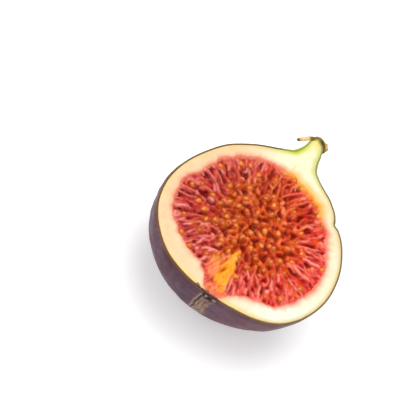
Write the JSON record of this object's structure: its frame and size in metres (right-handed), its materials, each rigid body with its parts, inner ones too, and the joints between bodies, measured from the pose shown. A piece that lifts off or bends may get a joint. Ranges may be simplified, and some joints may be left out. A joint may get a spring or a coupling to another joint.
{
  "type": "halved fresh fig",
  "caption": "Half of a ripe purple fresh fig with its stem stub, lying on its round skin with the seedy red cut face up.",
  "frame": {"origin": "on the table, under the middle of the half's bounding box", "axes": "+Z out of the level cut face, +Y from the eye of the fig to its stem stub, +X to the right as seen looking down on the cut face with the stem away"},
  "size_m": [0.052, 0.056, 0.0254],
  "materials": {
    "skin": "smooth purple fruit skin with a thin waxy bloom",
    "rind": "moist, cream-white cut flesh under the skin",
    "pulp": "wet, translucent pink-red florets",
    "seeds": "glossy golden seeds",
    "stem_scale": "dry tan and olive scales at the stem end and the eye"
  },
  "bodies": {
    "root": {"fig_half": "skin"}
  },
  "joints": []
}
